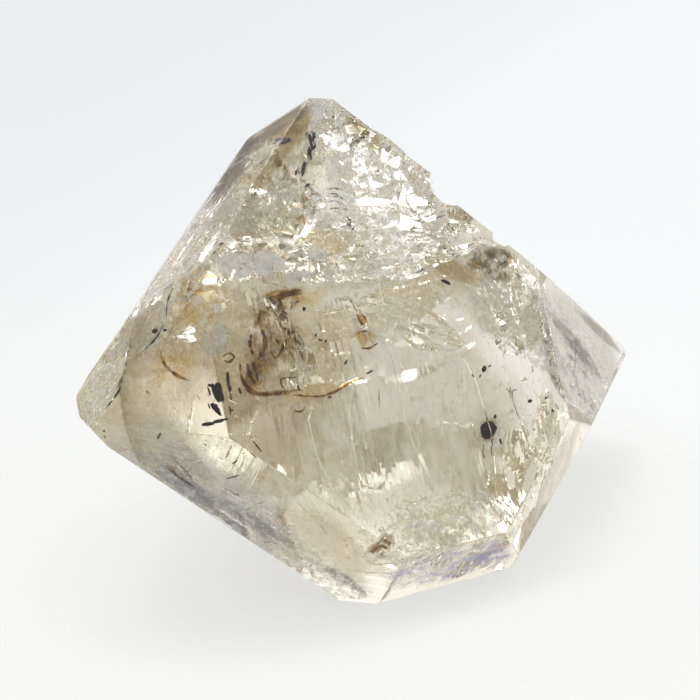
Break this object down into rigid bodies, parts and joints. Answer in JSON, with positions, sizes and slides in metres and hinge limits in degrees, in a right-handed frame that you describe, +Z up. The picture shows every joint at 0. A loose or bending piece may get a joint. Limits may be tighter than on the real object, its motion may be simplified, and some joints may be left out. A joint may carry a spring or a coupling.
{
  "type": "herkimer diamond",
  "caption": "Doubly terminated smoky clear quartz crystal with veils, dark grains and a broken edge, lying on a prism face.",
  "frame": {"origin": "middle of the crystal's lowest side, on the surface it lies on", "axes": "+Z up, away from the face it lies on; +X to the right in the picture, towards the sharp end; +Y away from the viewer"},
  "size_m": [0.0338, 0.0314, 0.0283],
  "materials": {
    "smoky_quartz": "clear, polished crystal faces with fine growth lines, frosty where broken"
  },
  "bodies": {
    "root": {"quartz_crystal": "smoky_quartz"}
  },
  "joints": []
}
